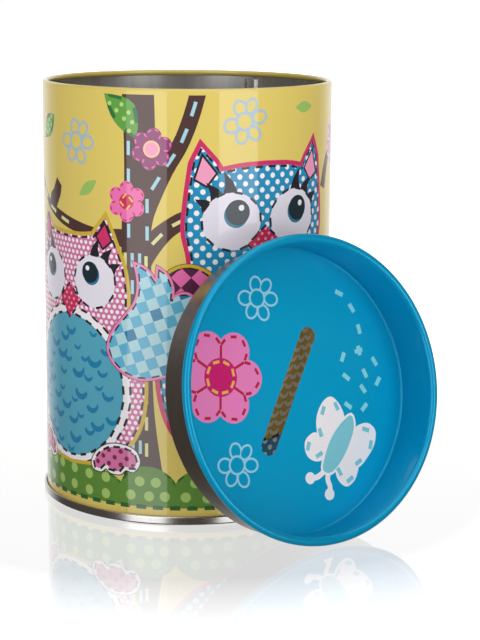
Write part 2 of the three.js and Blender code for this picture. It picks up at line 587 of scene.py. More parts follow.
@dataclass
class Owl:
    """A plain patchwork owl of simple shapes, facing forward.

    Its half outline runs from the top of the head to the bottom, as distances right of its middle and
    heights; the ears are its only sharp corners.
    """

    sheet: Print
    middle: float
    crown: Sequence[Point]
    ear: Sequence[Point]
    flank: Sequence[Point]
    rim: Ink
    rim_width: float
    plumage: Ink
    dot_pitch: Point
    dot_radius: float
    eye_gap: float
    eye_height: float
    eye_size: Point
    pupil_size: float
    pupil_shift: Point
    belly_middle: float
    belly_size: Point
    belly: Ink
    scale: Ink
    inner_ear: Ink
    belly_border: float = 2.6
    dense: bool = False  # scales in rows instead of scattered
    skin: int = field(init=False, default=0)  # the plumage's patch

    def lay(self) -> None:
        """Lays the owl's patches."""
        crown = smooth(self.crown, closed=False)
        shape = mirrored(crown + list(self.ear) + smooth(self.flank, 5, closed=False), self.middle)
        self.sheet.lay(outset(shape, self.rim_width), self.rim)
        self.skin = self.sheet.lay(shape, self.plumage)
        self.sheet.dots(*box_of(shape), self.dot_pitch, self.dot_radius, Ink.WHITE, self.skin)
        self.sheet.stitch(outset(shape, -0.45), Ink.NIGHT, 2.8, 2.2, 0.8, within=self.skin)
        for side in (-1, 1):
            self._lay_ear(side)
        self._lay_belly()
        for side in (-1, 1):
            self._lay_eye(side)
        self._lay_beak()

    def _lay_ear(self, side: int) -> None:
        """Lays the coloured inside of one ear.

        Args:
            side: 1 for right, -1 for left.
        """
        tip, root, flank = Vector(self.ear[1]), Vector(self.crown[-1]), Vector(self.flank[0])
        foot = (root + flank) / 2
        shrunk = [spot.lerp(foot, 0.35) for spot in (tip, root, flank)]
        inner = [*shrunk[:2], foot - Vector((0.3, 3.0)), shrunk[2]]
        shape = [(self.middle + side * p.x, p.y) for p in inner][::side]
        self.sheet.lay(outset(shape, 0.7), Ink.NIGHT, self.skin)
        self.sheet.lay(shape, self.inner_ear, self.skin)

    def _lay_belly(self) -> None:
        """Lays the egg-shaped belly with its border and scales."""
        centre, (wide, tall) = (self.middle, self.belly_middle), self.belly_size
        if self.belly_border:
            border = ellipse(centre, (wide + self.belly_border, tall + self.belly_border), sides=40)
            self.sheet.lay(border, Ink.WHITE, self.skin)
            self.sheet.stitch(border, Ink.NIGHT, 2.9, 2.6, 0.85, within=self.skin)
        shape = ellipse(centre, (wide, tall), sides=40)
        egg = self.sheet.lay(shape, self.belly, self.skin)
        pitch = (4.3, 3.0) if self.dense else (6.3, 5.2)
        for row in range(-9, 10):
            for place in range(-7, 8):
                x = (place + 0.5 * (row % 2)) * pitch[0]
                y, size, sway = row * pitch[1], 2.1, 0.0
                if not self.dense:
                    sway = math.sin(row * 2.3 + place * 3.7)
                    x += 1.3 * sway
                    y += 1.5 * math.cos(row + place * 2.9)
                    size = 2.5 + 0.8 * math.sin(row * 1.7 + place * 2.1)
                left_out = not self.dense and (row * 3 + place * 5) % 7 == 0
                if not left_out and (x / (wide - 1)) ** 2 + (y / (tall - 1)) ** 2 < 0.95:
                    self.sheet.lay(crescent((centre[0] + x, centre[1] + y), size, 12 * sway), self.scale, egg)
        self.sheet.stitch(shape, Ink.NIGHT, 2.9, 2.6, 0.9)

    def _lay_eye(self, side: int) -> None:
        """Lays one eye with its brow tufts.

        Args:
            side: 1 for right, -1 for left.
        """
        sheet, centre = self.sheet, (self.middle + side * self.eye_gap, self.eye_height)
        wide, tall = self.eye_size
        for k, reach in enumerate((0.85, 0.72, 0.6)):
            a = math.radians(90 - side * (5 + 29 * k))
            root = Vector((centre[0] + wide * 0.86 * math.cos(a), centre[1] + tall * 0.86 * math.sin(a)))
            out = Vector((math.cos(a) + 0.3 * side, math.sin(a) + 0.5)).normalized()
            across = Vector((-out.y, out.x)) * wide * 0.28
            tip = root + out * wide * reach
            bow = (root + tip) / 2 + across * 0.28 * side
            tuft = (root + across, root - across, bow - across * 0.5, tip, bow + across * 0.5)
            sheet.lay([tuple(p) for p in tuft], Ink.NIGHT)
        rim = ellipse(centre, (wide, tall), sides=36)
        sheet.lay(rim, Ink.EYE)
        sheet.stitch(rim, Ink.NIGHT, 3.0, 3.4, 0.8)
        r, (right, up) = self.pupil_size, self.pupil_shift
        x, y, way = centre[0] + right, centre[1] + up, math.copysign(r, right)
        sheet.disc((x - 0.14 * way, y - 0.2 * r), r, Ink.IRIS, sides=28)
        sheet.disc((x, y), r, Ink.PUPIL, sides=28)
        sheet.disc((x + 0.3 * way, y + 0.36 * r), 0.24 * r, Ink.WHITE, sides=14)

    def _lay_beak(self) -> None:
        """Lays the diamond beak between the eyes."""
        top = self.eye_height - 0.2 * self.eye_size[1]
        wide, tall = self.eye_size[0] * 0.66, self.eye_size[1] * 1.35
        corners = ((0, 0), (-wide, -0.45 * tall), (0, -tall), (wide, -0.45 * tall))
        shape = [(self.middle + x, top + y) for x, y in corners]
        beak = self.sheet.lay(shape, Ink.RED)
        self.sheet.dots(*box_of(shape), (2.7, 1.7), 0.5, Ink.ROSE, beak)
        self.sheet.stitch(shape, Ink.NIGHT, 2.6, 2.2, 0.8)


class WallPrint(Print):
    """The picture round the can: a tree with blossoms, two owls and a strip of grass.

    Across is millimetres along the girth, from the lid's side towards +X; up is height above the floor.
    """

    def __init__(self, low: float, high: float, start: float) -> None:
        """Lays the whole picture.

        Args:
            low: Where the sheet starts, above the floor.
            high: Where the mouth's curl starts.
            start: Where the side seam is, along the girth; the sheet runs from there once round.
        """
        super().__init__()
        self.start = start
        end = start + TIN.girth
        self.lay([(start, low), (end, low), (end, high), (start, high)], Ink.YELLOW)
        top, foot = high - 1.0, 5.6
        left, right = start + 1, end - 1
        self.area = self.lay([(left, foot), (right, foot), (right, top), (left, top)], Ink.YELLOW)
        self.tree()
        self.small_things()
        self.grass(foot)
        for owl in self.owls():
            owl.lay()
        self.feet(-74.3, 21.0, Ink.ORCHID)
        self.wings()
        self.far_side()

    def limbs(self, limbs: Sequence[tuple[Optional[Ink], int, Sequence[Spot]]]) -> None:
        """Lays limbs of a tree, then the bars stitched on them from their outer ends.

        Args:
            limbs: Of each, its bars' ink, how many bars at most, and its middle line from the trunk out with
                the limb's width at each point.
        """
        for _, _, path in limbs:
            self.lay(ribbon(path), Ink.BARK, self.area)
        for ink, count, path in limbs:
            line = smooth([(x, y) for x, y, _ in path[::-1]], closed=False)
            for place, way in list(spaced(line, 9.1, 7.6, False))[:count]:
                self.lay(bar(place, way, 4.8, 1.15), ink)

    def tree(self) -> None:
        """Lays the trunk with its branches, stitched with short bars."""
        stub = [(-82.0, 113.6), (-78.6, 111.0), (-79.6, 107.6), (-82.8, 103.0), (-88.2, 103.6),
                (-87.6, 107.6), (-84.6, 109.6)]
        self.lay(stub, Ink.BARK)
        limbs = (
            (Ink.PALE_BLUE, 4, ((-44.5, 97, 7), (-43.6, 104.5, 8), (-40.6, 112.0, 8), (-35.9, 119.6, 6.0),
                                (-31.2, 127, 5.3), (-27.6, 136, 5.3), (-24.8, 146, 5.3))),
            (Ink.LIME, 3, ((-45.6, 84, 7), (-43.6, 90, 7.6), (-38.8, 96.2, 6.6), (-34.3, 100.2, 5.8),
                           (-29, 103.2, 5.6), (-16, 108, 5.6))),
            (Ink.LIME, 3, ((-46, 94.5, 9), (-52, 96.4, 5.4), (-61, 96.8, 4), (-70, 98.3, 4),
                           (-78.6, 100.4, 4), (-87.4, 103.5, 3), (-94, 108, 2.4), (-98, 113, 1.5))),
            (None, 0, ((-45.2, 146, 11), (-44.6, 128, 10.8), (-44.8, 112, 10.4), (-45.8, 98, 10.4),
                       (-45.6, 60, 10.4), (-44.2, 37, 9.2), (-43.6, 12, 15))),
        )
        self.limbs(limbs)
        for x, high, low, ink in ((-48.4, 128, 95, Ink.PALE_BLUE), (-42.0, 109.4, 95, Ink.PALE_BLUE),
                                  (-49.7, 91.4, 20, Ink.LIME), (-47.2, 91.4, 20, Ink.PALE_BLUE),
                                  (-44.6, 91.4, 20, Ink.PALE_BLUE), (-42.4, 90.6, 20, Ink.LIME)):
            self.stitch([(x, high), (x, low)], ink, 4.6, 4.4, 1.1, False, 2.3)

    def small_things(self) -> None:
        """Lays leaves and blossoms on and round the tree."""
        self.dotted_leaf((-57.3, 143.0), (-45.6, 128.5), 6.6, 2.6)
        self.dotted_leaf((-83.6, 134.4), (-93.5, 126.0), 3.4, 4.2)
        self.small_leaf((-68.6, 108.8), (-60.6, 114.5))
        self.small_leaf((10.6, 138.1), (19.8, 138.1))
        self.line_blossom((-70.0, 126.7), 8.2, -6, Ink.OUTLINE_BLUE, Ink.YELLOW, 0.95)
        self.line_blossom((-9.8, 134.4), 8.2, 9, Ink.OUTLINE_BLUE, Ink.YELLOW, 0.95)
        self.limbs([(None, 0, ((29, 110, 4.4), (33, 119, 3.8), (40, 127, 3.4), (45, 135, 2.0)))])
        self.blossom((42.3, 124.6), 9.4, 15, Ink.ORCHID, Ink.ROSE, 2.9, Ink.WHITE)
        self.blossom((-40.5, 125.6), 7.0, 20, Ink.PURPLE, Ink.PEACH, 2.8, Ink.PINK)
        self.disc((-40.5, 125.6), 2.2, Ink.ROSE)
        self.blossom((-49.2, 108.2), 6.8, 30, Ink.PINK, Ink.RED, 2.6, Ink.RED)
        self.stitch(ellipse((-49.2, 108.2), (2.3, 2.6), sides=4), Ink.ORANGE, 2.0, 1.2, 0.6)

    def small_leaf(self, tip: Point, stalk: Point) -> None:
        """Lays a plain pale leaf."""
        self.lay(leaf(tip, stalk, 1.9, 1.9), Ink.SMALL_LEAF)

    def dotted_leaf(self, tip: Point, stalk: Point, left: float, right: float) -> None:
        """Lays a leaf with broad darker stitches and light dots.

        Args:
            tip: Its tip.
            stalk: Its other end.
            left: How far it swells on the left of the way from tip to stalk.
            right: How far it swells on the right.
        """
        shape = self.lay(leaf(tip, stalk, left, right), Ink.LEAF, self.area)
        edge = leaf(tip, stalk, left - 0.7, right - 0.7)
        self.stitch(edge, Ink.LEAF_DARK, 5.0, 4.4, 1.7, start=4.2, within=shape)
        a, b = Vector(tip), Vector(stalk)
        side = Vector((a.y - b.y, b.x - a.x)).normalized()
        spots = ((0.2, 0.1), (0.36, 0.7), (0.38, 0.1), (0.55, 0.75), (0.58, 0.2), (0.72, 0.62), (0.8, 0.12))
        for along, across in spots:
            middle = 0.45 * (left - right) * math.sin(math.pi * along) + (across - 0.4) * (left + right) * 0.5
            self.disc(tuple(a.lerp(b, along) + side * middle), 0.75, Ink.LEAF_DOT, shape, 12)

    def owls(self) -> tuple[Owl, Owl]:
        """Sets up the two owls.

        Returns:
            The pink owl and the blue owl.
        """
        pink = Owl(
            self, middle=-74.2, crown=((0, 95.3), (6, 95.4), (12, 96.2)),
            ear=((13.4, 98.2), (17.0, 102.4), (19.6, 97.0)),
            flank=((20.6, 94.4), (23.6, 87), (25.0, 79), (25.2, 71), (27.2, 63), (30.2, 55), (31.2, 46),
                   (29.8, 35), (25.4, 26.5), (17, 20.0), (0, 17.6)),
            rim=Ink.MUSTARD, rim_width=1.3, plumage=Ink.ORCHID, dot_pitch=(2.15, 1.85), dot_radius=0.7,
            eye_gap=11.8, eye_height=80.6, eye_size=(8.9, 8.9), pupil_size=3.6, pupil_shift=(-1.5, 3.0),
            belly_middle=44.0, belly_size=(23.6, 24.6), belly=Ink.TEAL, scale=Ink.TEAL_DARK,
            inner_ear=Ink.CRIMSON,
        )
        blue = Owl(
            self, middle=-1.8, crown=((0, 120.0), (9, 119.6), (16, 118.4)),
            ear=((18.0, 121.5), (22.6, 126.6), (25.4, 121.0)),
            flank=((26.2, 115.6), (27.2, 108), (27.8, 99), (26.0, 90), (25.8, 80), (30.5, 70), (35.2, 60),
                   (36.2, 49), (33.4, 36), (27, 27), (16, 20.0), (0, 17.6)),
            rim=Ink.CRIMSON, rim_width=1.5, plumage=Ink.AZURE, dot_pitch=(4.1, 2.3), dot_radius=0.92,
            eye_gap=12.1, eye_height=102.0, eye_size=(10.2, 9.5), pupil_size=4.2, pupil_shift=(1.9, 2.9),
            belly_middle=54.5, belly_size=(26.5, 27.0), belly=Ink.OLIVE, scale=Ink.TAUPE, inner_ear=Ink.ROSE,
            belly_border=0.0, dense=True,
        )
        return pink, blue

    def feet(self, middle: float, height: float, ink: Ink) -> None:
        """Lays an owl's two feet, each with three rounded toes.

        Args:
            middle: Where the owl's middle is.
            height: Height of the feet's middles.
            ink: Their ink.
        """
        half = smooth([(-9.3, -1.8), (-8.6, -4.4), (-5.4, -5.0), (-3.3, -3.6), (-1.4, -4.9), (2.4, -4.9),
                       (4.4, -3.2), (7.2, -3.6), (9.4, -0.6), (8.2, 3.2), (4.6, 5.0), (0.2, 5.2),
                       (-3.6, 4.2), (-7.2, 1.6)], 3)
        for side in (-1, 1):
            x = middle + side * 20.0
            foot = [(x + side * px, height + py) for px, py in half][::side]
            self.lay(outset(foot, 0.5), Ink.NIGHT)
            self.lay(outset(foot, 0.15), Ink.WHITE)
            inner = outset(foot, -1.0)
            shape = self.lay(inner, ink)
            self.dots((x - 9, height - 4), (x + 9, height + 6), (4.6, 2.3), 0.85, Ink.WINE, shape)
            self.stitch(inner, Ink.NIGHT, 2.6, 1.9, 0.8)

    def wings(self) -> None:
        """Lays the two quilted wings beside the trunk."""
        far = ellipse((-27.5, 70.5), (12.5, 16.8), 8, 36)
        self.lay(outset(far, 1.3), Ink.NIGHT)
        self.lay(outset(far, 1.1), Ink.MUSTARD)
        wing = self.quilt(far, 4.7, 45, (Ink.PLUM, Ink.PINK, Ink.PLUM))
        self.stitch(far, Ink.NIGHT, 2.8, 2.0, 1.2, within=wing)
        parts = (  # of the near wing's edge, which has a corner from each to the next
            ((-47.3, 88.8), (-46.3, 85.8), (-45.7, 81.9), (-46.0, 77.5), (-47.5, 74.0), (-50.1, 71.0),
             (-53.4, 67.1), (-55.9, 63.2), (-57.0, 59.0), (-55.5, 54.8), (-51.8, 51.2), (-47.4, 49.2),
             (-43.2, 48.7), (-37.6, 49.8), (-31, 52), (-26, 57), (-23, 65), (-23.6, 73), (-27.0, 78.2),
             (-30.4, 79.1), (-33.0, 78.0)),
            ((-33.0, 78.0), (-33.0, 80.6), (-34.3, 84.1), (-36.2, 86.2), (-38.9, 87.9)),
            ((-38.9, 87.9), (-39.2, 85.8), (-39.3, 83.4)),
            ((-39.3, 83.4), (-40.7, 85.6), (-43.5, 87.6), (-47.3, 88.8)),
        )
        rim = [spot for part in parts for spot in smooth(part, 3, closed=False)[:-1]]
        near = outset(rim, -0.8)
        self.lay(outset(rim, 0.2), Ink.PLUM)
        self.lay(rim, Ink.ROSE_EDGE)
        wing = self.quilt(near, 3.7, 21, (Ink.SKY, Ink.MIST, Ink.TEAL_DARK))
        self.stitch(near, Ink.NIGHT, 2.7, 2.3, 1.1, within=wing)

    def grass(self, foot: float) -> None:
        """Lays the grass: mounds all round, with dots and a stitched lower edge.

        Args:
            foot: Height of its lower edge.
        """
        end = self.start + TIN.girth
        valleys = (self.start + 1.2, -186, -163, -141, -118, -99, -51.5, -32.6, -8, 17, 40, 60, 81, end - 1.2)
        valley, overlap, steps = 12.8, 0.7, 16
        for k, (left, right) in enumerate(zip(valleys, valleys[1:])):
            rise = 19.6 + 0.8 * math.sin(k * 2.1) - valley
            low, wide = left - overlap, right - left + 2 * overlap
            crest = [(low + wide * t, valley + rise * math.sin(math.pi * t) ** 0.6)
                     for t in (i / steps for i in range(steps + 1))]
            shape = self.lay([*crest[::-1], (low, foot), (right + overlap, foot)], Ink.GRASS, self.area)
            for slope in (crest[13:], crest[1:4]):
                self.stitch(slope, Ink.GRASS_DARK, 2.6, 1.6, 1.5, False, 0.8, shape)
            for height, indent in ((9.0, 3.4), (14.7, 6.6)):
                x = left + indent
                while x < right - 2.5:
                    self.disc((x, height + 0.5 * math.sin(x)), 1.75, Ink.GRASS_DOT, shape, 16)
                    x += 6.6 + 1.2 * math.sin(x * 1.7)
        self.stitch([(self.start + 2, foot), (end - 2, foot)], Ink.GRASS_DARK, 3.5, 2.3, 1.5, False, 2.0)

    def far_side(self) -> None:
        """Lays the side away from the owls: a second tree with leaves and blossoms."""
        limbs = (
            (Ink.LIME, 3, ((-150, 103, 7), (-136, 116, 5.6), (-126, 128, 5), (-121, 146, 4.6))),
            (Ink.LIME, 3, ((-150, 90, 7), (-162, 104, 5), (-174, 112, 4), (-188, 114, 2.4))),
            (Ink.LIME, 2, ((-149, 62, 6), (-134, 75, 4.4), (-120, 78, 2.4))),
            (Ink.PALE_BLUE, 13, ((-150, 12, 16), (-150.6, 40, 10), (-149.2, 80, 10.4), (-150.5, 146, 10.8))),
        )
        self.limbs(limbs)
        red = (Ink.PINK, Ink.RED, Ink.RED)
        blossoms = ((-130, 112, red), (-154, 74, (Ink.PURPLE, Ink.ROSE, Ink.PINK)),
                    (-183, 116, (Ink.ORCHID, Ink.CRIMSON, Ink.PINK)), (-123, 77, red), (66, 96, red))
        for x, y, (petal, heart, mark) in blossoms:
            self.blossom((x, y), 6.8, 30, petal, heart, 2.6, mark)
        for x, y in ((-172, 132), (-128, 56), (-176, 62), (84, 62), (70, 130), (50, 76)):
            self.line_blossom((x, y), 8.0, x, Ink.OUTLINE_BLUE, Ink.YELLOW, 0.95)
        leaves = ((-142, 96, 34), (-166, 90, 140), (-116, 98, 60), (-194, 96, 110), (-110, 124, 20),
                  (56, 108, 70), (84, 100, 130), (62, 46, 40), (92, 124, 150))
        for x, y, turn in leaves:
            way = heading(turn) * 7.5
            self.dotted_leaf((x - way.x, y - way.y), (x + way.x, y + way.y), 3.2, 5.4)
        for x, y in ((-164, 42), (-114, 40), (78, 80), (96, 78), (90, 36), (-196, 70), (-200, 130)):
            self.small_leaf((x - 4, y - 3), (x + 4, y + 3))


class LidPrint(Print):
    """The picture in the lid's panel, with the coin slot cut out; across and up in the lid's own plane."""

    def __init__(self, radius: float) -> None:
        """Lays the whole picture.

        Args:
            radius: Radius of the flat of the panel.
        """
        super().__init__()
        self.lay(rim_points(radius), Ink.LID_BLUE)
        self.bloom((-25.8, 7.6), 16.1)
        for centre in ((-7.9, 31.5), (-23.7, -21.2)):
            self.line_blossom(centre, 8.1, -13.5, Ink.LID_LINE, Ink.LID_BLUE, 0.72)
        self.butterfly()
        self.trail()
        self.slot()

    def bloom(self, centre: Point, radius: float) -> None:
        """Lays the big stitched blossom.

        Args:
            centre: Its middle.
            radius: Middle to the end of a petal.
        """
        size = radius * 0.41
        turns = [-9 + 60 * k for k in range(6)]
        spots = [on_circle(centre, radius - size, t) for t in turns]
        for spot, turn in zip(spots, turns):
            self.lay(ellipse(spot, (size, size * 0.95), turn, 28), Ink.LID_PINK)
        self.disc(centre, radius * 0.6, Ink.LID_PINK)
        for spot, turn in zip(spots, turns):
            ring = ellipse(spot, (size * 0.78,) * 2, turn, 16)
            self.stitch(ring[12:] + ring[:5], Ink.STITCH, 2.3, 2.3, 0.95, False, 1.4)
            valley = [on_circle(centre, r, turn + 30) for r in (5.9, 10.6)]
            self.stitch(valley, Ink.STITCH, 4.2, 1.4, 0.9, False, 2.4)
        self.disc(centre, 6.3, Ink.LID_HEART, sides=32)
        self.stitch(ellipse(centre, (5.1, 5.1), sides=28), Ink.ORANGE, 2.5, 1.6, 0.95)

    def butterfly(self) -> None:
        """Lays the butterfly, its stitches and its feelers."""
        wings = (
            ((17.2, -4.2), (19.9, -6.9), (21.4, -11.0), (20.4, -14.6), (16.2, -19.0), (12.7, -18.6),
             (9.7, -16.1), (9.7, -11.2), (11.6, -7.2), (14.3, -4.7)),
            ((9.4, -15.2), (5.3, -16.2), (3.7, -18.7), (4.3, -22.3), (7.2, -24.5), (10.9, -24.3),
             (14.5, -21.0)),
            ((31.1, -15.0), (33.7, -17.7), (33.0, -21.6), (30.4, -25.1), (25.3, -29.0), (20.4, -29.0),
             (17.9, -25.0), (21.2, -20.2), (24.0, -16.6), (27.2, -15.0)),
            ((24.2, -28.4), (23.9, -31.0), (22.2, -33.4), (19.0, -34.8), (16.2, -32.9), (15.0, -29.5),
             (16.8, -26.0)),
        )
        for wing in wings:
            self.lay(smooth(wing), Ink.LID_WHITE)
        for feeler in (((12.8, -26.0, 2.2), (10.2, -28.4, 1.9), (7.2, -29.8, 1.9), (4.4, -29.7, 1.9)),
                       ((12.6, -27.4, 2.2), (11.4, -31.0, 1.9), (12.0, -33.8, 1.9), (11.4, -36.2, 1.9))):
            self.lay(ribbon(feeler), Ink.LID_WHITE)
            self.disc(feeler[-1], 2.0, Ink.LID_WHITE, sides=16)
        body = smooth([(24.3, -11.4), (25.0, -14.7), (23.6, -18.4), (20.2, -23.4), (16.3, -27.4),
                       (12.7, -29.2), (10.0, -27.8), (11.3, -23.7), (14.4, -18.5), (17.9, -14.9),
                       (20.8, -12.8)])
        self.lay(outset(body[::-1], 0.8), Ink.LID_WHITE)
        self.lay(body, Ink.MIST_TEAL)
        marks = ((13.0, -8.3, 62), (18.7, -7.6, -68), (10.8, -15.4, -80), (5.2, -19.2, 66), (9.2, -22.6, 20),
                 (29.7, -17.0, -22), (31.0, -22.4, 70), (25.0, -27.4, 24), (20.6, -32.6, 26),
                 (16.6, -29.4, -66))
        self.dashes(marks, 3.0, 1.5, Ink.MIST_TEAL)

    def dashes(self, marks: Sequence[Spot], length: float, width: float, ink: Ink) -> None:
        """Lays dashes, each given by its middle and its turn in degrees."""
        for x, y, turn in marks:
            self.lay(bar(Vector((x, y)), heading(turn), length, width), ink)

    def trail(self) -> None:
        """Lays the dashed trail behind the butterfly."""
        marks = ((25.6, 29.9, -30), (30.1, 24.4, -62), (32.1, 17.0, -82), (31.0, 9.8, -82), (30.8, 9.8, 8),
                 (23.9, 8.4, 62), (37.0, 5.4, -62), (24.3, 1.6, -42), (32.3, 1.9, -68), (37.4, -1.5, 52),
                 (30.7, -3.2, -58), (23.6, -8.0, -40), (30.3, -9.4, 40))
        self.dashes(marks, 3.3, 1.55, Ink.LID_DASH)

    def slot(self) -> None:
        """Cuts the coin slot."""
        radius, reach, steps = TIN.slot_width / 2, (TIN.slot_length - TIN.slot_width) / 2, 12
        end = [on_circle((0, reach), radius, 180 * k / steps) for k in range(steps + 1)]
        turn = Matrix.Rotation(math.radians(-TIN.slot_turn), 2)
        self.lay([tuple(turn @ Vector(p)) for p in end + [(-x, -y) for x, y in end]], None)


# ---- sheet metal


@dataclass(frozen=True)
class Station:
    """A point on the middle of a sheet's profile: radius, height and heading in radians."""

    radius: float
    height: float
    heading: float

    def side(self, offset: float) -> tuple[float, float]:
        """The point that far to the left of the sheet's middle."""
        return self.radius - offset * math.sin(self.heading), self.height + offset * math.cos(self.heading)


def bend(
    radius: float, height: float, size: float, start: float, stop: float, step: float = 12.0,
) -> list[Station]:
    """Stations round a bend.

    Args:
        radius: Radius of the bend's middle from the axis.
        height: Height of the bend's middle.
        size: The bend's own radius.
        start: Where it starts, in degrees from outwards.
        stop: Where it stops.
        step: Degrees from one station to the next.

    Returns:
        The stations, both ends included.
    """
    count = max(2, math.ceil(abs(stop - start) / step))
    turn = math.copysign(90, stop - start)
    stations = []
    for k in range(count + 1):
        a = start + (stop - start) * k / count
        x, y = math.cos(math.radians(a)), math.sin(math.radians(a))
        stations.append(Station(radius + size * x, height + size * y, math.radians(a + turn)))
    return stations


def rim_point(radius: float, turn: float, height: float = 0.0) -> Vector:
    """A point at a radius, turned by an angle in radians from -Y towards +X."""
    return Vector((radius * math.sin(turn), -radius * math.cos(turn), height))


def rim_points(radius: float) -> Outline:
    """The corners of a rim with as many sides as the can has columns."""
    turns = [2 * math.pi * k / TIN.columns for k in range(TIN.columns)]
    return [(p.x, p.y) for p in (rim_point(radius, t) for t in turns)]


class Kind(IntEnum):
    """Kinds of face, which decide where a face's normals come from."""

    SPUN = 0
    PRINTED = 1
    CUT = 2


def add_object(name: str, data: bpy.types.ID) -> bpy.types.Object:
    """Puts a mesh, a camera or a light in the scene.

    Args:
        name: The object's name.
        data: What it shows.

    Returns:
        The object.
    """
    made = bpy.data.objects.new(name, data)
    bpy.context.scene.collection.objects.link(made)
    return made


def add_piece(name: str, bm: bmesh.types.BMesh, finish: bpy.types.Material) -> bpy.types.Object:
    """Puts a piece in the scene.

    Args:
        name: Its name.
        bm: Its shape, which is freed.
        finish: Its material.

    Returns:
        The object.
    """
    mesh = bpy.data.meshes.new(name)
    bm.to_mesh(mesh)
    bm.free()
    mesh.materials.append(finish)
    return add_object(name, mesh)


@dataclass
class Pressing:
    """A mesh made of spun strips and flat or bent prints, welded, with exact normals.

    Sizes are millimetres in the piece's own frame, with the spinning axis along +Z.
    """

    name: str
    start: float = 0.0  # turn of the first column, in radians
    bm: bmesh.types.BMesh = field(default_factory=bmesh.new)
    strip_points: list[Vector] = field(default_factory=list)
    strip_normals: list[Vector] = field(default_factory=list)

    def __post_init__(self) -> None:
        """Adds the layers: ink on corners, and the kind of surface on faces."""
        self.ink = self.bm.loops.layers.float_color.new("ink")
        self.kind = self.bm.faces.layers.int.new("kind")

    def paint(self, face: bmesh.types.BMFace, kind: Kind, ink: Colour) -> None:
        """Marks a face.

        Args:
            face: The face.
            kind: Its kind.
            ink: Colour of its corners.
        """
        face[self.kind] = kind
        for loop in face.loops:
            loop[self.ink] = ink

    def strip(self, points: Sequence[Point], kind: Kind, ink: Colour) -> None:
        """Spins a line once round the axis.

        Args:
            points: Radius and height of each of its corners.
            kind: The strip's kind.
            ink: Colour of its corners.
        """
        known = set(self.bm.faces)
        verts = [self.bm.verts.new(rim_point(r, self.start, z)) for r, z in points]
        edges = [self.bm.edges.new(pair) for pair in zip(verts, verts[1:])]
        bmesh.ops.spin(
            self.bm, geom=verts + edges, cent=(0, 0, 0), axis=(0, 0, 1), angle=2 * math.pi, steps=TIN.columns,
            use_merge=True,
        )
        for face in self.bm.faces:
            if face not in known:
                self.paint(face, kind, ink)

    def spin(self, stations: Sequence[Station], side: int, ink: Colour) -> None:
        """Spins one side of the sheet.

        Args:
            stations: The sheet's middle line.
            side: 1 for the side on its left, -1 for the other.
            ink: Colour of the strip's corners.
        """
        points = [s.side(side * TIN.half) for s in stations]
        self.strip(points, Kind.SPUN, ink)
        self.strip_points += [Vector((r, z, 0)) for r, z in points]
        self.strip_normals += [Vector((-math.sin(s.heading), math.cos(s.heading))) * side for s in stations]

    def close_edge(self, station: Station) -> None:
        """Closes the sheet's cut edge at a station with one bare strip."""
        self.strip([station.side(TIN.half), station.side(-TIN.half)], Kind.CUT, BARE)

    def lay_print(
        self, sheet: Print, lines: Sequence[tuple[Point, Point]], place: Callable[[float, float], Vector],
        ink: Optional[Colour] = None,
    ) -> None:
        """Lays a print as faces.

        Args:
            sheet: The print.
            lines: Lines that its faces may not cross.
            place: Takes a point of the print to its place on the piece.
            ink: One colour for all of it, where it isn't the print's own.
        """
        corners, faces, inks = sheet.cut(lines)
        verts = [self.bm.verts.new(place(*p)) for p in corners]
        for face, printed in zip(faces, inks):
            self.paint(self.bm.faces.new([verts[i] for i in face]), Kind.PRINTED, ink or printed.linear())
        bmesh.ops.delete(self.bm, geom=[v for v in verts if not v.link_faces], context="VERTS")

    def spun_normal(self, tree: kdtree.KDTree, co: Vector) -> Vector:
        """The normal of the spun sheet at a point.

        Args:
            tree: The strips' points, as radius and height.
            co: The point.

        Returns:
            The normal, on either side of the sheet.
        """
        _, i, _ = tree.find((math.hypot(co.x, co.y), co.z, 0))
        out = Vector((co.x, co.y, 0)).normalized() if co.xy.length > 1e-6 else Vector((1, 0, 0))
        return out * self.strip_normals[i].x + Vector((0, 0, self.strip_normals[i].y))

    def finish(
        self, place: Matrix, print_normal: Callable[[Vector], Vector], finish: bpy.types.Material,
    ) -> bpy.types.Object:
        """Welds the piece, puts it in its place and gives it exact normals.

        Args:
            place: From the piece's own frame in millimetres to the row frame in metres.
            print_normal: The outward normal of the printed faces at a point of the piece's own frame.
            finish: Its material.

        Returns:
            The finished object.
        """
        bmesh.ops.remove_doubles(self.bm, verts=self.bm.verts, dist=WELD / MM)
        bmesh.ops.recalc_face_normals(self.bm, faces=self.bm.faces)
        tree = kdtree.KDTree(len(self.strip_points))
        for i, spot in enumerate(self.strip_points):
            tree.insert(spot, i)
        tree.balance()
        turn = place.to_3x3().normalized()
        normals = []
        for face in self.bm.faces:
            face.smooth = True
            for loop in face.loops:
                normal = face.normal
                if face[self.kind] == Kind.PRINTED:
                    normal = print_normal(loop.vert.co)
                elif face[self.kind] == Kind.SPUN:
                    normal = self.spun_normal(tree, loop.vert.co)
                normals.append(turn @ (normal if normal.dot(face.normal) >= 0 else -normal))
        made = add_piece(self.name, self.bm, finish)
        made.data.transform(place)
        made.data.normals_split_custom_set(normals)
        return made


# ---- shader maths


class Wire:
    """A value socket in a material, with the operators of arithmetic."""

    def __init__(self, graph: "Graph", socket: bpy.types.NodeSocket) -> None:
        """Keeps the socket and the graph that it belongs to."""
        self.graph, self.socket = graph, socket

    def _maths(self, operation: str, first: "Value", second: "Value") -> "Wire":
        """Adds one Math node."""
        return self.graph.add("ShaderNodeMath", {"operation": operation}, {0: first, 1: second}).out()

    def __add__(self, other: "Value") -> "Wire":
        """Sum."""
        return self._maths("ADD", self, other)

    def __sub__(self, other: "Value") -> "Wire":
        """Difference."""
        return self._maths("SUBTRACT", self, other)

    def __rsub__(self, other: "Value") -> "Wire":
        """Difference from a number."""
        return self._maths("SUBTRACT", other, self)

    def __mul__(self, other: "Value") -> "Wire":
        """Product."""
        return self._maths("MULTIPLY", self, other)

    __radd__ = __add__
    __rmul__ = __mul__


